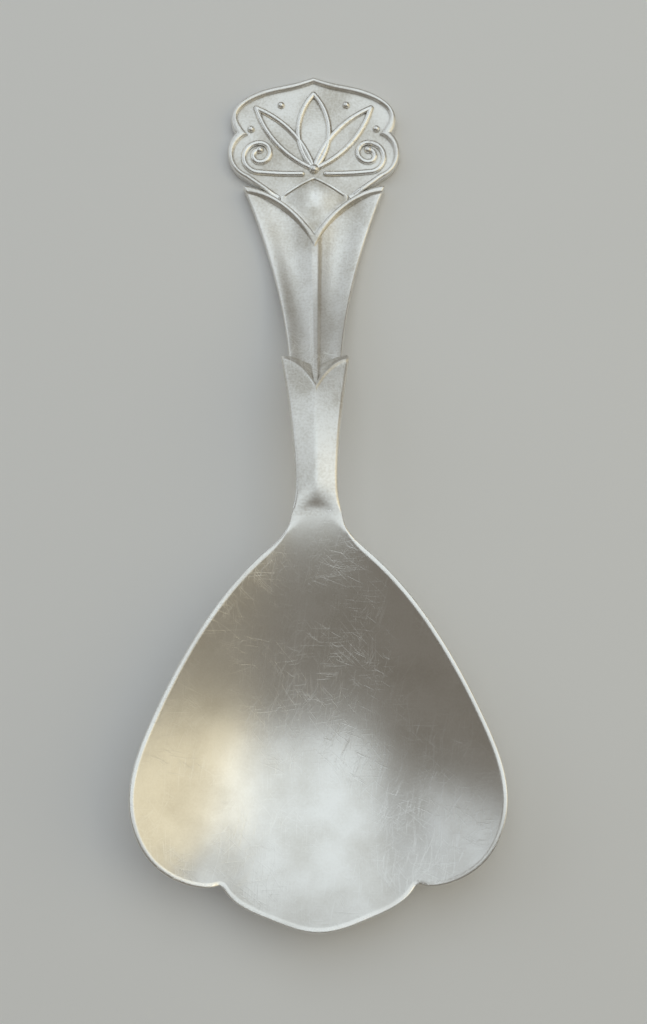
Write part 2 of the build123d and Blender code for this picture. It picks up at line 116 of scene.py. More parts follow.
def smooth_curve(points, start, end, count):
    """Curve of even curvature through the points, leaving along start and arriving along end."""
    points = np.array(points, float)
    chords = np.hypot(*np.diff(points, axis=0).T)
    knots = np.concatenate([[0], np.cumsum(chords)])
    size = len(points)
    matrix = np.zeros((size, size))
    right = np.zeros((size, 2))
    matrix[0, 0] = 1
    matrix[-1, -1] = 1
    right[0] = np.array(start) / np.hypot(*start)
    right[-1] = np.array(end) / np.hypot(*end)
    for i in range(1, size - 1):
        before, after = chords[i - 1], chords[i]
        matrix[i, i - 1 : i + 2] = (after, 2 * (before + after), before)
        arriving = 3 * after / before * (points[i] - points[i - 1])
        leaving = 3 * before / after * (points[i + 1] - points[i])
        right[i] = arriving + leaving
    slopes = np.linalg.solve(matrix, right)
    places = np.linspace(0, knots[-1], count)
    i = np.clip(np.searchsorted(knots, places, side="right") - 1, 0, size - 2)
    step = chords[i][:, None]
    t = ((places - knots[i]) / chords[i])[:, None]
    return (
        points[i] * (1 + 2 * t) * (1 - t) ** 2
        + slopes[i] * step * t * (1 - t) ** 2
        + points[i + 1] * t * t * (3 - 2 * t)
        - slopes[i + 1] * step * t * t * (1 - t)
    )


def arc_through(start, middle, end, count):
    """Points on the circle through three points."""
    (ax, ay), (bx, by), (cx, cy) = start, middle, end
    d = 2 * (ax * (by - cy) + bx * (cy - ay) + cx * (ay - by))
    a, b, c = ax * ax + ay * ay, bx * bx + by * by, cx * cx + cy * cy
    x = (a * (by - cy) + b * (cy - ay) + c * (ay - by)) / d
    y = (a * (cx - bx) + b * (ax - cx) + c * (bx - ax)) / d
    first = np.arctan2(ay - y, ax - x)
    turn = (np.arctan2(cy - y, cx - x) - first) % (2 * np.pi)
    if (np.arctan2(by - y, bx - x) - first) % (2 * np.pi) > turn:
        turn -= 2 * np.pi
    radius = np.hypot(ax - x, ay - y)
    angles = first + turn * np.linspace(0, 1, count)
    return np.stack([x + radius * np.cos(angles), y + radius * np.sin(angles)], 1)


def evenly(points, count, closed=False):
    """The same line with its points evenly spaced."""
    if closed:
        points = np.concatenate([points, points[:1]])
    run = np.concatenate([[0], np.cumsum(np.linalg.norm(np.diff(points, axis=0), axis=1))])
    places = np.linspace(0, run[-1], count, endpoint=not closed)
    return np.stack([np.interp(places, run, column) for column in points.T], 1)


def mirrored(points):
    """A right-hand line that ends on the middle, carried on back along the left-hand side."""
    left = points[::-1] * np.array([-1, 1])
    return np.concatenate([points, left[1:]])


def smooth_step(value):
    """0 below 0, 1 above 1, eased between."""
    value = np.clip(value, 0, 1)
    return value * value * (3 - 2 * value)


def closer_at_end(start, turn, coarse, fine):
    """Shares from start to 1, in coarse steps up to the turn and in fine steps after it."""
    return np.concatenate([np.linspace(start, turn, coarse), np.linspace(turn, 1, fine)[1:]])


def at_height(line, height):
    """A line in plan, lifted to one height."""
    return np.concatenate([line, np.full((len(line), 1), height)], 1)


def piece(name, parts, node, material):
    """Mesh object of one or more skins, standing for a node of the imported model."""
    vertices = []
    faces = []
    for points, quads in parts:
        start = len(vertices)
        vertices += [tuple(point) for point in points]
        faces += [tuple(start + index for index in face) for face in quads]
    mesh = bpy.data.meshes.new(name)
    mesh.from_pydata(vertices, [], faces)
    mesh.validate()
    shell = bmesh.new()
    shell.from_mesh(mesh)
    bmesh.ops.recalc_face_normals(shell, faces=shell.faces)
    shell.to_mesh(mesh)
    shell.free()
    mesh.shade_smooth()
    mesh.set_sharp_from_angle(angle=CRISP_EDGE)
    mesh.materials.append(material)
    shown = bpy.data.objects.new(name, mesh)
    bpy.context.scene.collection.objects.link(shown)
    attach(shown, "root")
    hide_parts(node)


def skin(rows, capped=True):
    """Closed rings of points joined by quads, with a fan at each end if capped."""
    rows = np.asarray(rows)
    count, around = rows.shape[:2]
    points = rows.reshape(-1, 3)
    quads = []
    for row in range(count - 1):
        here = row * around
        beyond = here + around
        for column in range(around):
            following = (column + 1) % around
            quads.append((here + column, here + following, beyond + following, beyond + column))
    if capped:
        points = np.concatenate([points, [rows[0].mean(0), rows[-1].mean(0)]])
        first = count * around
        last = (count - 1) * around
        for column in range(around):
            following = (column + 1) % around
            quads.append((first, following, column))
            quads.append((first + 1, last + column, last + following))
    return points, quads


def slab(rows):
    """Skin with one flat face at each end."""
    points, quads = skin(rows, capped=False)
    around = len(rows[0])
    quads.append(tuple(range(around))[::-1])
    quads.append(tuple(range(len(points) - around, len(points))))
    return points, quads


# Bowl

# Places on the outline, in shares of half the width and of the length from the front tip
FLANK = ((0.286, 0.913), (0.62, 0.738), (0.894, 0.506))
WIDEST = 0.2925
SIDE_LOBE = ((0.89, 0.172), (0.653, 0.1095))
NOTCH = (0.5186, 0.1132)
MIDDLE_LOBE = ((0.449, 0.0755), (0.257, 0.0311))
# Directions of its two curves where they start and end
FLANK_START = (0.15, -1)
FLANK_END = (-1, 0.5)
LOBE_START = (-0.5, -1)
LOBE_END = (-1, 0)
CROSS_CURVE = 2.2
WIDTH_SHARPNESS = 1.45
DEEPEST = 0.394
DEPTH_SHARPNESS = 3.28
RIM_DROP = 2.7 * MM
FRONT_RUNOUT = 3.0 * MM
NECK_RUNOUT = 5.0 * MM
RIDGE_HEIGHT = 0.15 * MM
RIDGE_WIDTH = 2.6 * MM
RIDGE_LENGTH = 24.0 * MM
NECK_FLARE = 0.45 * MM
RIM_LAND = 0.45 * MM
RIM_ROUND = 0.2 * MM
RIM_MARGIN = 0.03 * MM
RIM_FADE = 5.0 * MM  # from the crease, over which the filed rim begins
PLAIN_EDGE = 10  # at the crease the edge starts one part in ten of the gauge down
MESH_CENTRE = 0.45  # share of the length
NUDGE = 0.05 * MM  # step over which a slope is taken


def swell(share, peak, sharpness):
    """Rises from 0 at share 0 to 1 at the peak, and falls to 0 at share 1."""
    rise = (share / peak) ** (sharpness * peak)
    return rise * ((1 - share) / (1 - peak)) ** (sharpness * (1 - peak))


class Bowl:
    """Dished sheet whose height is a formula in plan."""

    def __init__(self, shape):
        self.length = shape.bowl_length
        self.half_width = shape.bowl_width / 2
        self.depth = shape.bowl_depth
        self.sheet = shape.sheet
        stem = shape.lower_stem_length + shape.upper_stem_length + shape.terminal_length
        self.tip = -(shape.bowl_length + stem) / 2
        self.crease = self.tip + self.length
        self.crease_half = shape.neck_width / 2 + NECK_FLARE
        # the lift is what stands the lowest place on the table
        self.lift = 0
        keel = np.linspace(self.tip, self.crease, 500)
        self.lift = self.sheet - self.inside(np.zeros_like(keel), keel).min()

    def share(self, y):
        """How far along the dish a place is, from 0 in front to 1 behind."""
        return (y - self.tip + FRONT_RUNOUT) / (self.length + FRONT_RUNOUT + NECK_RUNOUT)

    def plan(self, x_share, y_share):
        return (x_share * self.half_width, self.tip + y_share * self.length)

    def inside(self, x, y):
        """Height of the inner face."""
        notch_x, notch_y = self.plan(*NOTCH)
        widest = self.share(self.tip + WIDEST * self.length)
        half = self.half_width * swell(self.share(y), widest, WIDTH_SHARPNESS)
        depth = self.depth * swell(self.share(y), DEEPEST, DEPTH_SHARPNESS)
        # the ridges draw together by a third
        run = np.clip((y - notch_y) / RIDGE_LENGTH, 0, 1)
        aside = (np.abs(x) - notch_x * (1 - run / 3)) / RIDGE_WIDTH
        ridge = RIDGE_HEIGHT * (1 - run) ** 2 * np.exp(-aside * aside)
        rim = RIM_DROP * (y - self.tip) / self.length
        return self.lift + rim - depth * (1 - np.abs(x / half) ** CROSS_CURVE) + ridge

    def normal(self, x, y):
        slope_x = (self.inside(x + NUDGE, y) - self.inside(x - NUDGE, y)) / (2 * NUDGE)
        slope_y = (self.inside(x, y + NUDGE) - self.inside(x, y - NUDGE)) / (2 * NUDGE)
        up = np.stack([-slope_x, -slope_y, np.ones_like(slope_x)], -1)
        return up / np.linalg.norm(up, axis=-1, keepdims=True)

    def outline(self, count):
        """Closed outline, anticlockwise from above."""
        flank = smooth_curve(
            [(self.crease_half, self.crease)]
            + [self.plan(*place) for place in FLANK]
            + [self.plan(1, WIDEST)]
            + [self.plan(*place) for place in SIDE_LOBE]
            + [self.plan(*NOTCH)],
            FLANK_START,
            FLANK_END,
            600,
        )
        lobe = smooth_curve(
            [self.plan(*NOTCH)] + [self.plan(*place) for place in MIDDLE_LOBE] + [(0, self.tip)],
            LOBE_START,
            LOBE_END,
            200,
        )
        line = evenly(mirrored(np.concatenate([flank, lobe[1:]])), count)
        # a short running mean rounds the notches
        line[1:-1] = (line[:-2] + line[1:-1] + line[2:]) / 3
        crease = np.linspace(line[-1], line[0], 30)[1:-1]
        return np.concatenate([line, crease])[::-1]

    def skin(self, neck_lift):
        """Both faces and the rim; neck_lift is what the facets of the stem add to the inner face."""
        line = self.outline(560)
        ahead = np.roll(line, -1, 0) - np.roll(line, 1, 0)
        outward = np.stack([ahead[:, 1], -ahead[:, 0]], 1)
        outward /= np.linalg.norm(outward, axis=1, keepdims=True)
        # the rim is filed flat on top and rounded outside, except where it meets the stem
        filed = smooth_step((self.crease - line[:, 1]) / RIM_FADE)[:, None]
        rise = -(self.normal(line[:, 0], line[:, 1])[:, :2] * outward).sum(1)[:, None]
        edge = line - outward * (np.maximum(RIM_LAND, self.sheet * rise) + RIM_ROUND + RIM_MARGIN) * filed
        centre = np.array([0, self.tip + MESH_CENTRE * self.length])
        inner = []
        outer = []
        for share in closer_at_end(0.01, 0.9, 60, 16):
            plan = centre + (edge - centre) * share
            x, y = plan.T
            top = np.stack([x, y, self.inside(x, y)], 1)
            outer.append(top - self.normal(x, y) * self.sheet)
            inner.append(np.stack([x, y, top[:, 2] + neck_lift(x, y)], 1))
        level = at_height(outward, 0)
        up = self.normal(*edge.T)
        aside = level - up * (level * up).sum(1, keepdims=True)
        aside /= np.linalg.norm(aside, axis=1, keepdims=True)
        plain = (outer[-1] - inner[-1]) * (1 - filed) / PLAIN_EDGE
        land = inner[-1] + level * RIM_LAND * filed + plain
        bulge = land + level * RIM_ROUND * filed
        tuck = outer[-1] + aside * RIM_ROUND * filed
        rim = []
        for share in np.linspace(0, 1, 12)[:-1]:
            left = 1 - share
            upper = land * left**3 + bulge * 3 * left**2 * share
            lower = tuck * 3 * left * share**2 + outer[-1] * share**3
            rim.append(upper + lower)
        return skin(inner + rim + outer[::-1])


# Handle

LEAF_CURVE = 1.8
NECK_SETBACK = 5.0 * MM
ARCH_SETBACK = 7.0 * MM
SHEATH_RISE = 4.6 * MM
SHEATH_SWELL = 1.6
SHEATH_STEP = 0.45 * MM
SHEATH_RIDGE = 0.55 * MM
SHEATH_WALL = 0.4 * MM
SHEATH_EDGE = 0.45 * MM  # radius of its long edges in front
SHEATH_BACK_EDGE = 0.7 * MM
RIDGE_FADE = 4.4 * MM
RIDGE_ROUND = 0.07  # share of the half width
EDGE_FADE = 3.5 * MM
CREASE_BLEND = 2.2 * MM
CREASE_ARCH = 2.2 * MM  # how much further forward the facets end at the sides than in the middle
MOUTH_LIP_WIDTH = 0.85 * MM
MOUTH_LIP_HEIGHT = 0.15 * MM
MOUTH_RINGS = ((0.05 * MM, 0.06 * MM), (0.2 * MM, 0.08 * MM), (0.9 * MM, 0.0))  # inwards and along the stem
BACK_WALL_DROP = 1.4 * MM
WALL_HOLD = 4  # power that keeps the side walls to the leaf edge almost down to the back
CALYX_RISE = 7.4 * MM
CALYX_EDGE = 0.3 * MM
CALYX_BACK_EDGE = 0.5 * MM
LIP_WIDTH = 1.15 * MM
LIP_HEIGHT = 0.4 * MM
LIP_CURVE = 2.6
RIB_WIDTH = 1.6 * MM
RIB_HEIGHT = 0.25 * MM
RIB_CURVE = 4
RIB_FOOT = 0.5  # share of its width at the sheath
HOLLOW_DEPTH = 0.6 * MM
HOLLOW_CURVE = 1.5
HOLLOW_FOOT = 0.35  # share of its depth at the sheath
HOLLOW_START = 0.6  # share of half the rib
EDGE_LAND = 0.45 * MM
TENON_LENGTH = 1.6 * MM
SECTION_CROWDING = 0.35  # how much closer the points of a section stand towards its sides
DROP_LENGTH = 10.5 * MM
DROP_WIDTH = 4.8 * MM
DROP_TIP_THICKNESS = 0.25 * MM
DROP_ROOT = 0.08  # share of its length that runs back under the stem
DROP_TAPER = 0.3
DROP_ROUND_FROM = 0.8
DROP_SUNK = 0.4 * MM  # how far it goes into the bowl
TAIL_WIDTH = 10.8 * MM
LAP_SETBACK = 1.0 * MM
LAP_FLOOR = 0.6 * MM


class Handle:
    """Heights and widths along the stem."""

    def __init__(self, shape):
        self.shape = shape
        self.bowl = Bowl(shape)
        self.crease = self.bowl.crease
        self.neck_top = float(self.bowl.inside(np.zeros(1), np.array([self.crease]))[0])
        self.sheath = self.crease + shape.lower_stem_length
        self.sheath_tip = self.sheath + SHEATH_RISE
        self.tenon = self.sheath - TENON_LENGTH
        self.calyx = self.sheath + shape.upper_stem_length
        self.calyx_tip = self.calyx + CALYX_RISE
        # slope of the front at the crease
        start = np.array([self.crease, self.crease + NUDGE])
        self.rise = np.diff(self.arch(start) + self.thickness(start)) / NUDGE
        tail = TAIL_WIDTH / shape.calyx_width
        self.join = self.calyx + CALYX_RISE * self.leaf_edge(tail)
        self.join_slope = self.leaf_slope(tail)

    def arch(self, y):
        """Height of the back above the table."""
        top = self.crease + ARCH_SETBACK
        full = 1 - np.cos(np.pi * (self.calyx - self.crease) / (self.calyx - top))
        share = np.clip((self.calyx - y) / (self.calyx - top), 0, None)
        return (self.neck_top - self.shape.neck_thickness) * (1 - np.cos(np.pi * share)) / full

    def thickness(self, y):
        """Of the stem, without the step of the sheath."""
        foot = self.shape.neck_thickness - SHEATH_STEP
        share = np.minimum((y - self.crease) / (self.calyx - self.crease), 1)
        return foot + (self.shape.calyx_thickness - foot) * share

    def lower_half(self, y):
        """Half the width of the lower stem."""
        neck = self.crease + NECK_SETBACK
        flare = NECK_FLARE * (np.minimum(y - neck, 0) / NECK_SETBACK) ** 2
        share = np.clip((y - neck) / (self.sheath_tip - neck), 0, None)
        widen = (self.shape.sheath_width - self.shape.neck_width) / 2 * share**SHEATH_SWELL
        return self.shape.neck_width / 2 + flare + widen

    def upper_half(self, y):
        """Half the width of the upper stem."""
        foot = self.lower_half(np.array(self.tenon)) - SHEATH_WALL
        share = (y - self.tenon) / (self.calyx_tip - self.tenon)
        return foot + (self.shape.calyx_width / 2 - foot) * share * share

    def neck_face(self, across, y):
        """Front of the lower stem and of the neck, where facets rise out of the hollow of the bowl."""
        half = self.lower_half(y)
        from_arch = y - self.crease + CREASE_ARCH * across * across
        blend = smooth_step(from_arch / CREASE_BLEND)
        ridge = SHEATH_RIDGE * smooth_step(from_arch / RIDGE_FADE)
        edge = self.arch(y) + self.thickness(y) + SHEATH_STEP
        roof = edge + ridge * (1 + RIDGE_ROUND - np.hypot(across, RIDGE_ROUND))
        # past the crease the face of the bowl runs on into the stem, level and slope
        bowl_y = np.minimum(y, self.crease)
        dished = self.bowl.inside(across * half, bowl_y)
        below = self.bowl.inside(across * half, bowl_y - NUDGE)
        past = y - bowl_y
        hollow = dished + (dished - below) / NUDGE * past + edge - self.neck_top - self.rise * past
        hollow = np.where(past > 0, hollow, dished)
        rounded = eased(across, half, SHEATH_EDGE) * smooth_step(past / EDGE_FADE)
        return hollow + (roof - hollow) * blend - rounded

    def neck_lift(self, x, y):
        """How far the facets of the neck stand off the hollow of the bowl."""
        half = self.lower_half(y)
        across = np.clip(x / half, -1, 1)
        return self.neck_face(across, y) - self.bowl.inside(across * half, y)

    def leaf_edge(self, across):
        """Rise of a leaf edge above its notch, as a share, at this share of the half width."""
        return 1 - (1 - np.minimum(np.abs(across), 1)) ** LEAF_CURVE

    def leaf_slope(self, across):
        """Slope of a leaf edge of the calyx in plan."""
        steepest = LEAF_CURVE * CALYX_RISE / (self.shape.calyx_width / 2)
        return steepest * (1 - np.minimum(np.abs(across), 1)) ** (LEAF_CURVE - 1)


def section_columns(front, side, back):
    """Places round a section: share of the half width, and share of the way from the front to the back."""
    turn = np.linspace(-1, 1, front)
    across_front = np.sin(turn * np.pi / 2) * SECTION_CROWDING + turn * (1 - SECTION_CROWDING)
    down = np.linspace(0, 1, side + 2)[1:-1]
    across_back = np.linspace(1, -1, back)
    across = np.concatenate([across_front, np.ones(side), across_back, -np.ones(side)])
    drop = np.concatenate([np.zeros(front), down, np.ones(back), down[::-1]])
    return across, drop


def eased(across, half, radius):
    """How far a rounded edge falls below a flat face."""
    into = np.clip((np.abs(across) * half - (half - radius)) / radius, 0, 1)
    return radius * (1 - np.sqrt(1 - np.minimum(into, 0.999) ** 2))


def closing_rings(last, steps):
    """Rings that turn the end of a stem inwards."""
    x, _, z = last.T
    inwards = np.stack([-x, np.zeros_like(x), z.mean() - z], 1)
    inwards /= np.linalg.norm(inwards, axis=1, keepdims=True) + 1e-9
    rings = []
    for inset, shift in steps:
        rings.append(last + inwards * inset + np.array([0, shift, 0]))
    return rings


def lower_stem_skins(handle):
    """Sheath with a ridged front and a V-shaped mouth, and its tongue under the bowl."""
    across, drop = section_columns(81, 5, 41)
    seam = handle.sheath_tip - BACK_WALL_DROP
    mouth = handle.sheath + SHEATH_RISE * handle.leaf_edge(across)
    end = mouth + (seam - mouth) * drop**WALL_HOLD
    rows = []
    for share in closer_at_end(0, 0.9, 70, 21):
        y = handle.crease + (end - handle.crease) * share
        half = handle.lower_half(y)
        back = handle.arch(y) + eased(across, half, SHEATH_BACK_EDGE)
        front = handle.neck_face(across, y)
        from_mouth = (mouth - y) / MOUTH_LIP_WIDTH
        lip = MOUTH_LIP_HEIGHT * np.exp(-((2 * from_mouth - 1) ** 2)) * (1 - drop)
        rows.append(np.stack([across * half, y, front + lip + (back - front) * drop], 1))
    rows += closing_rings(rows[-1], MOUTH_RINGS)
    return [skin(rows), drop_skin(handle)]


def drop_skin(handle):
    """Tongue of the lower stem under the bowl."""
    bowl = handle.bowl
    root = handle.neck_top - bowl.sheet - float(handle.arch(np.array([handle.crease]))[0])
    rows = []
    angles = np.linspace(0, np.pi, 33)
    for share in np.linspace(-DROP_ROOT, 1, 50):
        y = handle.crease - DROP_LENGTH * share
        plain = DROP_WIDTH / 2 * (1 - DROP_TAPER * max(share, 0))
        into_round = max((share - DROP_ROUND_FROM) / (1 - DROP_ROUND_FROM), 0)
        half = plain * np.sqrt(max(1 - into_round**2, 1e-4))
        under = float(bowl.inside(np.zeros(1), np.array([min(y, handle.crease)]))[0]) - bowl.sheet
        thick = root + (DROP_TIP_THICKNESS - root) * max(share, 0)
        x = half * np.cos(angles)
        level = np.full_like(x, y)
        low = under - thick * np.sin(angles) ** 0.5
        high = np.full_like(x, under + DROP_SUNK)
        rows.append(np.concatenate([np.stack([x, level, low], 1), np.stack([x, level, high], 1)[::-1]]))
    return skin(rows)


def upper_stem_skins(handle):
    """Stem with two hollows and a rib, which ends in the lips of the calyx."""
    across, drop = section_columns(161, 5, 61)
    lap = handle.join - LAP_SETBACK
    leaf = handle.calyx + CALYX_RISE * handle.leaf_edge(across)
    end = leaf + (np.maximum(leaf, lap) - leaf) * drop**WALL_HOLD
    slope = handle.leaf_slope(across)
    rows = []
    for share in closer_at_end(0, 0.93, 110, 61):
        y = handle.tenon + (end - handle.tenon) * share
        half = handle.upper_half(y)
        x = across * half
        back = handle.arch(y) + eased(across, half, CALYX_BACK_EDGE)
        top = handle.arch(y) + handle.thickness(y)
        along = np.clip((y - handle.tenon) / (handle.calyx - handle.tenon), 0, 1)
        rib = RIB_WIDTH / 2 * (RIB_FOOT + (1 - RIB_FOOT) * along)
        land = half - EDGE_LAND
        near = rib * HOLLOW_START
        way = np.clip((np.abs(x) - near) / (land - near), 0, 1)
        hollow = HOLLOW_DEPTH * np.maximum(along, HOLLOW_FOOT) * np.sin(np.pi * way) ** HOLLOW_CURVE
        base = top - hollow + RIB_HEIGHT * np.exp(-((x / rib) ** RIB_CURVE))
        away = (leaf - y) / np.sqrt(1 + slope * slope) / LIP_WIDTH
        bead = np.sqrt(np.clip(1 - np.abs(2 * away - 1) ** LIP_CURVE, 0, 1))
        raised = base + (top + LIP_HEIGHT - base) * bead
        front = np.where(away < 1, np.maximum(raised, base), base) - eased(across, half, CALYX_EDGE)
        rows.append(np.stack([x, y, front + (back - front) * drop], 1))
    floor = rows[-1].copy()
    floor[:, 2] = np.where(drop == 0, LAP_FLOOR, floor[:, 2])
    return [skin(rows + [floor])]


# Terminal

# Places in shares of half the width and of the height from the crest of the bud to the apex
BROW = (0.28, 0.932)
SHOULDER = (0.559, 0.881)
UPPER_LOBE = (0.96, 0.603)
WAIST = (0.911, 0.443)
LOWER_LOBE = (1.0, 0.27)
CORNER = 0.802
CORNER_LIFT = 0.15 * MM
CORNER_INSET = (0.6, 0.7)  # left and up to the inner line of the border, in its widths
SKIRT_INSET = (0.6, 0.8)
CROWN_START = (1, -0.4)  # directions of its curve
CROWN_END = (-0.7, -1)
FOOT_INSET = 0.25 * MM  # eased lower edge of the plate
FOOT_HEIGHT = 0.3 * MM
SUNK = 0.1 * MM  # how far the border and the wires go into the plate
BORDER_WIDTH = 0.9 * MM
BORDER_HEIGHT = 0.6 * MM
BORDER_CURVE = 0.7
BORDER_END = 0.2  # share of its height at its ends
BORDER_RUNOUT = 2.5 * MM  # over which its ends grow low
BUD_WIDTH = 9.8 * MM
BUD_SHOULDER = 6.0 * MM
BUD_CREST = (0.54, 0.51)
BUD_LENGTH = 8.9 * MM
BUD_HUB = 0.3 * MM  # middle of its mesh, below the shoulder
BUD_RIM = 0.2 * MM
BUD_RIM_PLACE = 0.82  # share of the way from the middle to the outline
BUD_RIM_STEP = 0.05
BUD_RIM_FOOT = 0.5 * MM  # below the shoulder, where the rim begins to rise
BUD_RIM_RUN = 1.0 * MM
BUD_CREASE_DEPTH = 0.05 * MM
BUD_CREASE_WIDTH = 0.25 * MM
BUD_CREASE_FOOT = 2.4 * MM  # below the shoulder, where the crease begins
BUD_CREASE_RUN = 3.0 * MM
BUD_HEIGHT = 1.1 * MM
BUD_REACH = 3.3 * MM  # of the dome, which is bell-shaped
BUD_EDGE = 0.3 * MM
BUD_ROUND_FROM = 0.96
BUD_SUNK = 0.35 * MM  # how far its foot goes into the plate
BUD_HIGHLIGHT_REACH = 2.6 * MM  # reach of the bright highlight painted on its top
JOINT_GAP = 0.03 * MM


class Terminal:
    """Outline of the plate and places on it."""

    def __init__(self, shape):
        self.shape = shape
        self.handle = Handle(shape)
        self.field = shape.terminal_thickness
        self.bud = self.handle.calyx + BUD_LENGTH
        self.height = shape.terminal_length - BUD_LENGTH

    def place(self, x_share, y_share):
        """Point given by its two shares."""
        return (x_share * self.shape.terminal_width / 2, self.bud + y_share * self.height)

    def outline(self, inset):
        """Right-hand half of the outline from the apex to the calyx, or the inner line of the border."""

        def inside(place, left, down):
            x, y = self.place(*place)
            return (x - left * inset, y - down * inset)

        crown = smooth_curve(
            [
                inside((0, 1), 0, 1),
                inside(BROW, 0.2, 1),
                inside(SHOULDER, 0.3, 1),
                inside(UPPER_LOBE, 1, 0),
                inside(WAIST, 2, 0.25),
            ],
            CROWN_START,
            CROWN_END,
            120,
        )
        corner_x = CORNER * self.shape.terminal_width / 2
        corner_y = self.handle.join + self.handle.join_slope * (corner_x - TAIL_WIDTH / 2) + CORNER_LIFT
        corner = (corner_x - inset * CORNER_INSET[0], corner_y + inset * CORNER_INSET[1])
        cheek = arc_through(crown[-1], inside(LOWER_LOBE, 1, 0), corner, 80)
        skirt_end = (TAIL_WIDTH / 2 - inset * SKIRT_INSET[0], self.handle.join + inset * SKIRT_INSET[1])
        skirt = np.linspace(corner, skirt_end, 40)
        return np.concatenate([crown, cheek[1:], skirt[1:]])

    def leaf_side(self, width, inset, count):
        """Right-hand leaf edge of the calyx, as wide as a piece in its notch, moved off it by the inset."""
        across = np.linspace(width / self.shape.calyx_width, 0, count)
        x = across * self.shape.calyx_width / 2
        y = self.handle.calyx + CALYX_RISE * self.handle.leaf_edge(across)
        return np.stack([x, y + inset], 1)

    def plate_skins(self):
        """Flat plate, and its tail between the leaves of the calyx."""
        line = mirrored(self.outline(0)[::-1])
        inner = mirrored(self.outline(FOOT_INSET)[::-1])
        plate = slab([at_height(inner, 0), at_height(line, FOOT_HEIGHT), at_height(line, self.field)])
        line = mirrored(self.leaf_side(TAIL_WIDTH, 2 * JOINT_GAP, 30))
        tail = slab([at_height(line, LAP_FLOOR), at_height(line, self.field)])
        return [plate, tail]

    def border_skin(self):
        """Half-round border, low at its ends."""
        outer = mirrored(self.outline(0)[::-1])
        inner = mirrored(self.outline(BORDER_WIDTH)[::-1])
        along = np.concatenate([[0], np.cumsum(np.hypot(*np.diff(outer, axis=0).T))])
        from_end = np.minimum(along, along[-1] - along)
        heights = BORDER_HEIGHT * (BORDER_END + (1 - BORDER_END) * smooth_step(from_end / BORDER_RUNOUT))
        rings = []
        for outside, inside, height in zip(outer, inner, heights):
            ring = []
            for angle in np.linspace(0, np.pi, 13):
                share = (1 - np.cos(angle)) / 2
                x, y = outside + (inside - outside) * share
                ring.append((x, y, self.field + height * np.sin(angle) ** BORDER_CURVE))
            ring.append((*inside, self.field - SUNK))
            ring.append((*outside, self.field - SUNK))
            rings.append(ring)
        return skin(np.array(rings))

    def bud_skin(self):
        """Domed leaf in the notch of the calyx."""
        shoulder = self.handle.calyx + BUD_SHOULDER
        middle_x = BUD_CREST[0] * BUD_WIDTH / 2
        middle_y = shoulder + BUD_CREST[1] * (BUD_LENGTH - BUD_SHOULDER)
        crest = arc_through((0, self.bud), (middle_x, middle_y), (BUD_WIDTH / 2, shoulder), 40)
        right = np.concatenate([crest, self.leaf_side(BUD_WIDTH, 3 * JOINT_GAP, 40)])
        line = evenly(mirrored(right)[:-1], 240, closed=True)
        centre = np.array([0, shoulder - BUD_HUB])
        rows = []
        for share in closer_at_end(0.02, 0.78, 20, 16):
            x, y = (centre + (line - centre) * share).T
            # the outermost part is level, and along the crest it stands up as a flat rim
            at_x, at_y = (centre + (line - centre) * min(share, BUD_RIM_PLACE)).T
            up = at_y - shoulder
            dome = BUD_EDGE + (BUD_HEIGHT - BUD_EDGE) * np.exp(-(at_x**2 + up**2) / BUD_REACH**2)
            crease = BUD_CREASE_DEPTH * np.exp(-((x / BUD_CREASE_WIDTH) ** 2))
            crease = crease * smooth_step((up + BUD_CREASE_FOOT) / BUD_CREASE_RUN)
            rim = BUD_RIM * smooth_step((share - BUD_RIM_PLACE) / BUD_RIM_STEP)
            rim = rim * smooth_step((up + BUD_RIM_FOOT) / BUD_RIM_RUN)
            into_round = np.clip((share - BUD_ROUND_FROM) / (1 - BUD_ROUND_FROM), 0, 0.995)
            height = (dome - crease + rim) * np.sqrt(1 - into_round**2)
            rows.append(np.stack([x, y, self.field + height], 1))
        rows.append(at_height(line, self.field - BUD_SUNK))
        return skin(rows)

    def bud_top(self):
        return (0, self.handle.calyx + BUD_SHOULDER, self.field + BUD_HEIGHT)


# Ornament

WIRE_RADIUS = 0.45 * MM
KNOB_RADIUS = 0.75 * MM
EYE_RADIUS = 0.6 * MM
BERRY_RADIUS = 0.55 * MM
PALMETTE_BASE = (0.0, 0.09)
MIDDLE_LEAF_TIP = (0.0, 0.833)
SIDE_LEAF_TIP = (0.67, 0.695)
SCROLL_START = (0.14, 0.045)
SCROLL_FOOT = (0.63, 0.06)
BERRIES = ((0.38, 0.725), (0.73, 0.487))
MIDDLE_LEAF_BULGE = 0.141
SIDE_LEAF_BULGE = 0.09
SCROLL_SAG = 0.006
SCROLL_RADII = (0.145, 0.095, 0.06)


def bowed(start, end, bulge):
    """Point beside the middle of a chord, to the right of its direction."""
    run = np.array(end) - np.array(start)
    beside = np.array([run[1], -run[0]]) / np.hypot(*run)
    return (np.array(start) + np.array(end)) / 2 + beside * bulge


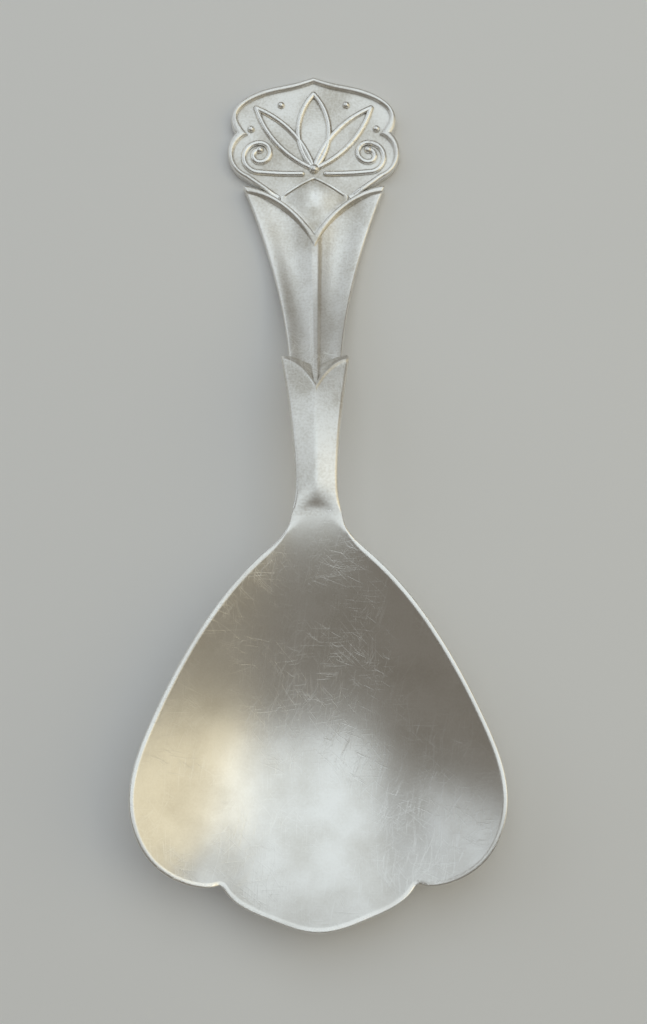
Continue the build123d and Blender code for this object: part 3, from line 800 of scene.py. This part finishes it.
def wire_skin(line, field):
    """Half-round wire along a line on the field, with rounded ends."""
    line = evenly(np.array(line), max(24, len(line)))
    ahead = np.gradient(line, axis=0)
    ahead /= np.linalg.norm(ahead, axis=1, keepdims=True)
    beside = np.stack([-ahead[:, 1], ahead[:, 0]], 1)
    rows = []
    stops = [(0, -np.cos(angle), np.sin(angle)) for angle in np.linspace(0.1, np.pi / 2, 5)]
    stops += [(i, 0, 1) for i in range(1, len(line) - 1)]
    stops += [(len(line) - 1, np.cos(angle), np.sin(angle)) for angle in np.linspace(np.pi / 2, 0.1, 5)]
    for i, along, size in stops:
        middle = line[i] + ahead[i] * along * WIRE_RADIUS
        ring = []
        for angle in np.linspace(0, np.pi, 13):
            x, y = middle + beside[i] * WIRE_RADIUS * size * np.cos(angle)
            ring.append((x, y, field + WIRE_RADIUS * size * np.sin(angle)))
        ring.append((*middle, field - SUNK))
        rows.append(ring)
    return skin(np.array(rows))


def ball_skin(centre, radius, field):
    """Half-ball on the field."""
    turn = np.linspace(0, 2 * np.pi, 32, endpoint=False)
    circle = np.stack([np.cos(turn), np.sin(turn)], 1)
    rows = []
    for angle in np.linspace(0.05, np.pi / 2, 10):
        ring = np.array(centre) + radius * np.sin(angle) * circle
        rows.append(at_height(ring, field + radius * np.cos(angle)))
    return skin(rows)


# Silver

CLOUD_SCALE = 140
GRAIN_SCALE = 3200
PATCH_SCALE = 110
# Sets of scratches: direction, fineness and share of the face that they take up
FINE_SCRATCHES = ((0.1, 5200, 0.18), (0.75, 5600, 0.12), (1.5, 5600, 0.12), (2.4, 5600, 0.12))
DEEP_SCRATCHES = ((0.4, 3600, 0.05), (2.0, 4000, 0.05))
SCRATCH_LENGTH = 24  # in widths
SCRATCH_BEND = 4 * MM
CORNER_SHADE_REACH = 0.45 * MM  # how near another face has to be for painted corner shade
WEAR_REACH = 0.6 * MM  # how far from an edge it is rubbed
UNWORN = (0.6 * MM, 1.6 * MM)  # from the crease, where rubbing begins and where it is full
POLISH_RUN = 12 * MM  # over which the polish of the bowl changes into that of the handle
BUMP_DEPTH = 0.011 * MM


class Value:
    """Output of a shader node; arithmetic on it adds Math nodes."""

    def __init__(self, tree, socket):
        self.tree = tree
        self.socket = socket

    def put(self, target):
        self.tree.links.new(self.socket, target)

    def math(self, operation, first, second):
        node = self.tree.nodes.new("ShaderNodeMath")
        node.operation = operation
        for value, target in zip((first, second), node.inputs):
            if isinstance(value, Value):
                value.put(target)
            else:
                target.default_value = value
        return Value(self.tree, node.outputs[0])

    def __add__(self, other):
        return self.math("ADD", self, other)

    def __radd__(self, other):
        return self.math("ADD", other, self)

    def __sub__(self, other):
        return self.math("SUBTRACT", self, other)

    def __mul__(self, other):
        return self.math("MULTIPLY", self, other)

    def node(self, kind, target, output, settings=None, **inputs):
        """Any other node, with this value on the target input."""
        made = self.tree.nodes.new(kind)
        for name, value in (settings or {}).items():
            setattr(made, name, value)
        for name, value in inputs.items():
            made.inputs[name.replace("_", " ")].default_value = value
        self.put(made.inputs[target])
        return Value(self.tree, made.outputs[output])


def new_material(name):
    """Shader of a new material, and the coordinates on the object."""
    material = bpy.data.materials.new(name)
    material.use_nodes = True
    tree = material.node_tree
    shader = tree.nodes["Principled BSDF"]
    coordinates = tree.nodes.new("ShaderNodeTexCoord")
    return shader, Value(tree, coordinates.outputs["Object"])


def ramp(value, low, high):
    """0 at low, 1 at high, eased between and level outside."""
    settings = {"interpolation_type": "SMOOTHSTEP"}
    return value.node("ShaderNodeMapRange", "Value", "Result", settings, From_Min=low, From_Max=high)


def noise(place, scale, detail):
    return place.node("ShaderNodeTexNoise", "Vector", "Fac", Scale=scale, Detail=detail)


def hairlines(place, turn, fineness, cover):
    """Fine scratches that run one way."""
    turned = place.node("ShaderNodeMapping", "Vector", "Vector", Rotation=(0, 0, turn))
    stretch = (fineness, fineness / SCRATCH_LENGTH, fineness / SCRATCH_LENGTH)
    drawn = turned.node("ShaderNodeMapping", "Vector", "Vector", Scale=stretch)
    return ramp(noise(drawn, 1.0, 2.0), 0.68 - cover / 2, 0.74 - cover / 2)


def scratches(place, sets):
    """Several sets of hairlines, one over the other."""
    total = hairlines(place, *sets[0])
    for each in sets[1:]:
        total = total + hairlines(place, *each)
    return total


def bent(place, reach):
    """The same coordinates pushed about a little, so that scratches curve."""
    push = place.node("ShaderNodeTexNoise", "Vector", "Color", Scale=90.0, Detail=1.0)
    aside = push.node("ShaderNodeVectorMath", 0, 0, {"operation": "MULTIPLY_ADD"})
    aside.socket.node.inputs[1].default_value = (reach, reach, reach)
    place.put(aside.socket.node.inputs[2])
    return aside


def occlusion(tree, reach, inside=False):
    """How open a place is: 1 on open faces, less in corners, or from inside the metal, less along edges."""
    made = tree.nodes.new("ShaderNodeAmbientOcclusion")
    made.samples = 8
    made.inside = inside
    made.only_local = inside
    made.inputs["Distance"].default_value = reach
    return Value(tree, made.outputs["AO"])


def mixed(tree, factor, first, second):
    node = tree.nodes.new("ShaderNodeMix")
    node.data_type = "RGBA"
    factor.put(node.inputs[0])
    for value, target in ((first, node.inputs[6]), (second, node.inputs[7])):
        if isinstance(value, Value):
            value.put(target)
        else:
            target.default_value = (*value, 1)
    return Value(tree, node.outputs[2])


def silver(name, finish, crease, matt, tone, scratch, grit, top=None):
    """Worn silver, with the polish of the bowl up to the crease and that of the handle further on.

    Matt adds to the roughness, tone is the share of dull silver, scratch and grit are the strength of the
    scratches and of the grain, and top is the middle of a bright spot painted on as a highlight; corners are
    painted darker as shade.
    """
    shader, place = new_material(name)
    tree = place.tree
    cloud = noise(place, CLOUD_SCALE, 4.0)
    grain = noise(place, GRAIN_SCALE, 2.0)
    curved = bent(place, SCRATCH_BEND)
    fine = scratches(curved, FINE_SCRATCHES)
    deep = scratches(curved, DEEP_SCRATCHES)
    lines = (fine * 0.45 + deep * 0.7) * ramp(noise(place, PATCH_SCALE, 2.0), 0.3, 0.7)
    # painted shade: where other faces stand close, the base colour darkens towards the tarnish colour
    corner_shade = ramp(occlusion(tree, CORNER_SHADE_REACH), 0.8, 0.3)
    y = place.node("ShaderNodeSeparateXYZ", "Vector", "Y")
    from_joint = y.math("ABSOLUTE", y - crease, 0)
    wear_and_highlight = ramp(occlusion(tree, WEAR_REACH, inside=True), 0.95, 0.5) * ramp(from_joint, *UNWORN)
    # painted highlight: around the top of the bud the base colour is made brighter and the roughness lower
    if top:
        away = place.node("ShaderNodeVectorMath", 0, "Value", {"operation": "DISTANCE"})
        away.socket.node.inputs[1].default_value = top
        wear_and_highlight = wear_and_highlight + ramp(away, BUD_HIGHLIGHT_REACH, 0)
    dullness = ramp(cloud, 0.3, 0.8) * tone + (grain - 0.5) * grit - lines * (0.5 * scratch) - wear_and_highlight * 0.9
    worn = mixed(tree, dullness, tuple(finish.bright), tuple(finish.dull))
    mixed(tree, corner_shade * 0.5, worn, tuple(finish.tarnish_and_shade)).put(shader.inputs["Base Color"])
    shader.inputs["Metallic"].default_value = 1
    along = ramp(y, crease, crease + POLISH_RUN)
    polish = finish.bowl_roughness + along * (finish.handle_roughness - finish.bowl_roughness)
    rough = polish + matt + dullness * 0.08 + lines * (0.12 * scratch) - wear_and_highlight * 0.08
    rough.put(shader.inputs["Roughness"])
    height = grain * grit + cloud * 0.4 - lines * scratch
    bump = height.node("ShaderNodeBump", "Height", "Normal", Strength=1.0, Distance=BUMP_DEPTH)
    bump.put(shader.inputs["Normal"])


def silvers(context):
    """The three finishes of the record and that of the bud with its painted highlight, made once."""
    finish = context.scene.spoon_finish
    crease = Bowl(context.scene.spoon_shape).crease
    recipes = {
        "bright_silver": (0.0, 0.5, 1.0, 0.3),
        "satin_silver": (0.0, 0.8, 1.6, 1.1),
        "toned_silver": (0.06, 0.9, 1.0, 1.0),
        # the bud is toned darker than satin so that its painted highlight stands out: painted shade on its
        # flanks
        "bud_highlight_silver": (0.0, 1.5, 1.2, 1.0, Terminal(context.scene.spoon_shape).bud_top()),
    }
    for name, recipe in recipes.items():
        if "spoon_" + name not in bpy.data.materials:
            silver("spoon_" + name, finish, crease, *recipe)
    return {name: bpy.data.materials["spoon_" + name] for name in recipes}


# Operators


class SPOON_OT_bowl(bpy.types.Operator):
    """Build the bowl with its filed rim"""

    bl_idname = "spoon.bowl"
    bl_label = "Bowl"

    def execute(self, context):
        handle = Handle(context.scene.spoon_shape)
        bright = silvers(context)["bright_silver"]
        piece("bowl_sheet", [handle.bowl.skin(handle.neck_lift)], "bowl", bright)
        return {"FINISHED"}


class SPOON_OT_stem(bpy.types.Operator):
    """Build the lower and the upper stem"""

    bl_idname = "spoon.stem"
    bl_label = "Stem"

    def execute(self, context):
        handle = Handle(context.scene.spoon_shape)
        satin = silvers(context)["satin_silver"]
        piece("lower_stem_sheath", lower_stem_skins(handle), "lower_stem", satin)
        piece("upper_stem_calyx", upper_stem_skins(handle), "upper_stem", satin)
        return {"FINISHED"}


class SPOON_OT_terminal(bpy.types.Operator):
    """Build the plate of the terminal, its border and the bud"""

    bl_idname = "spoon.terminal"
    bl_label = "Terminal"

    def execute(self, context):
        terminal = Terminal(context.scene.spoon_shape)
        made = silvers(context)
        toned = made["toned_silver"]
        satin = made["satin_silver"]
        piece("terminal_field", terminal.plate_skins(), "terminal_plate", toned)
        piece("terminal_bead", [terminal.border_skin()], "terminal_border", satin)
        piece("bud_dome", [terminal.bud_skin()], "bud", made["bud_highlight_silver"])
        return {"FINISHED"}


class SPOON_OT_ornament(bpy.types.Operator):
    """Build the palmette, the scrolls and the berries"""

    bl_idname = "spoon.ornament"
    bl_label = "Ornament"

    def execute(self, context):
        terminal = Terminal(context.scene.spoon_shape)
        satin = silvers(context)["satin_silver"]
        field = terminal.field
        base = terminal.place(*PALMETTE_BASE)
        leaves = [ball_skin(base, KNOB_RADIUS, field)]
        side_x, side_y = SIDE_LEAF_TIP
        tips = (
            (MIDDLE_LEAF_TIP, MIDDLE_LEAF_BULGE),
            (SIDE_LEAF_TIP, SIDE_LEAF_BULGE),
            ((-side_x, side_y), SIDE_LEAF_BULGE),
        )
        for place, bulge in tips:
            tip = terminal.place(*place)
            for side in (-1, 1):
                beside = bowed(base, tip, side * bulge * terminal.height)
                leaves.append(wire_skin(arc_through(base, beside, tip, 50), field))
        piece("palmette_leaves", leaves, "palmette", satin)
        for name, side in (("scroll_left", -1), ("scroll_right", 1)):
            piece(name + "_wire", self.scroll(terminal, side), name, satin)
        balls = []
        for x_share, y_share in BERRIES:
            for side in (-1, 1):
                balls.append(ball_skin(terminal.place(side * x_share, y_share), BERRY_RADIUS, field))
        piece("berry_balls", balls, "berries", satin)
        return {"FINISHED"}

    def scroll(self, terminal, hand):
        """Wire that winds up in half circles, each smaller than the last, round a ball."""
        start = terminal.place(*SCROLL_START)
        turn = terminal.place(*SCROLL_FOOT)
        parts = [arc_through(start, bowed(start, turn, SCROLL_SAG * terminal.height), turn, 40)]
        side = 1
        for share in SCROLL_RADII:
            radius = share * terminal.height
            x, y = turn
            end = (x, y + 2 * side * radius)
            parts.append(arc_through(turn, (x + side * radius, y + side * radius), end, 40)[1:])
            turn = end
            side = -side
        line = np.concatenate(parts) * np.array([hand, 1])
        eye = (turn[0] * hand, turn[1])
        return [wire_skin(line, terminal.field), ball_skin(eye, EYE_RADIUS, terminal.field)]


# Stage

FLOOR_REACH = 2.0
FLOOR_ROUGHNESS = 0.9
SKY_TINT = (1.0, 0.92, 0.80)
# Name, place, aim, size, power and tint of each lamp
LAMPS = (
    ("overhead", (0.10, 0.43, 0.75), (0.10, 0.43, 0), (0.82, 1.4), 2.8, (0.83, 0.935, 1.0)),
    ("left", (-0.68, 0.48, 0.45), (0, 0, 0), (0.8, 1.2), 1.8, (0.80, 0.91, 1.0)),
    ("right", (0.72, 0.0, 0.5), (0, 0, 0), (0.9, 0.8), 1.6, (1.0, 0.91, 0.64)),
)
# Where the photo was taken from, in mm, and how far its top leans to the right
CAMERA_EYE = Vector((-1.3, -51.1, 214.6))
CAMERA_AIM = Vector((1.0, -4.15, 0.0))
CAMERA_LEAN = 0.0074
SENSOR_WIDTH = 36
FOCAL_LENGTH = 56.25
NEAREST_SEEN = 10 * MM


def facing(eye, aim, lean=0.0):
    """The placement of a camera or a lamp at eye that points at aim, with its top towards +Y."""
    back = (eye - aim).normalized()
    side = Vector((lean, 1, 0)).cross(back).normalized()
    up = back.cross(side)
    return Matrix.Translation(eye) @ Matrix((side, up, back)).transposed().to_4x4()


class SPOON_OT_stage(bpy.types.Operator):
    """Set the floor, the light and the camera"""

    bl_idname = "spoon.stage"
    bl_label = "Stage"

    def execute(self, context):
        settings = context.scene.spoon_stage
        self.floor(context, settings)
        self.light(context, settings)
        self.camera(context)
        return {"FINISHED"}

    def floor(self, context, settings):
        reach = FLOOR_REACH
        corners = [(-reach, -reach, 0), (reach, -reach, 0), (reach, reach, 0), (-reach, reach, 0)]
        mesh = bpy.data.meshes.new("floor")
        mesh.from_pydata(corners, [], [(0, 1, 2, 3)])
        material = bpy.data.materials.new("floor")
        material.use_nodes = True
        shader = material.node_tree.nodes["Principled BSDF"]
        shader.inputs["Base Color"].default_value = (*settings.floor, 1)
        shader.inputs["Roughness"].default_value = FLOOR_ROUGHNESS
        mesh.materials.append(material)
        floor = bpy.data.objects.new("floor", mesh)
        context.scene.collection.objects.link(floor)

    def light(self, context, settings):
        world = bpy.data.worlds.new("studio")
        world.use_nodes = True
        context.scene.world = world
        background = world.node_tree.nodes["Background"]
        background.inputs["Color"].default_value = (*SKY_TINT, 1)
        background.inputs["Strength"].default_value = settings.sky
        for name, position, aim, size, power, tint in LAMPS:
            data = bpy.data.lights.new(name, "AREA")
            data.energy = power
            data.shape = "RECTANGLE"
            data.size, data.size_y = size
            data.color = tint
            lamp = bpy.data.objects.new(name, data)
            lamp.matrix_world = facing(Vector(position), Vector(aim))
            context.scene.collection.objects.link(lamp)

    def camera(self, context):
        data = bpy.data.cameras.new("camera")
        data.sensor_width = SENSOR_WIDTH
        data.lens = FOCAL_LENGTH
        data.clip_start = NEAREST_SEEN
        camera = bpy.data.objects.new("camera", data)
        camera.matrix_world = facing(CAMERA_EYE * MM, CAMERA_AIM * MM, CAMERA_LEAN)
        context.scene.collection.objects.link(camera)
        context.scene.camera = camera
        context.scene.view_settings.view_transform = "Standard"


# Panel and registration


class SPOON_PT_panel(bpy.types.Panel):
    """Sidebar panel of the spoon"""

    bl_label = "Sugar Spoon"
    bl_idname = "SPOON_PT_panel"
    bl_space_type = "VIEW_3D"
    bl_region_type = "UI"
    bl_category = "Spoon"

    def draw(self, context):
        for group in (context.scene.spoon_shape, context.scene.spoon_finish, context.scene.spoon_stage):
            box = self.layout.box()
            for name in group.__annotations__:
                box.prop(group, name)
        for operator in OPERATORS:
            self.layout.operator(operator.bl_idname)


GROUPS = {"spoon_shape": SpoonShape, "spoon_finish": SpoonFinish, "spoon_stage": SpoonStage}
OPERATORS = (SPOON_OT_bowl, SPOON_OT_stem, SPOON_OT_terminal, SPOON_OT_ornament, SPOON_OT_stage)


def register():
    for name, group in GROUPS.items():
        bpy.utils.register_class(group)
        setattr(bpy.types.Scene, name, PointerProperty(type=group))
    for kind in (*OPERATORS, SPOON_PT_panel):
        bpy.utils.register_class(kind)


def unregister():
    for kind in (SPOON_PT_panel, *reversed(OPERATORS)):
        bpy.utils.unregister_class(kind)
    for name, group in reversed(GROUPS.items()):
        delattr(bpy.types.Scene, name)
        bpy.utils.unregister_class(group)


def main():
    register()
    bpy.ops.spoon.bowl()
    bpy.ops.spoon.stem()
    bpy.ops.spoon.terminal()
    bpy.ops.spoon.ornament()
    bpy.ops.spoon.stage()


if __name__ == "__main__":
    main()
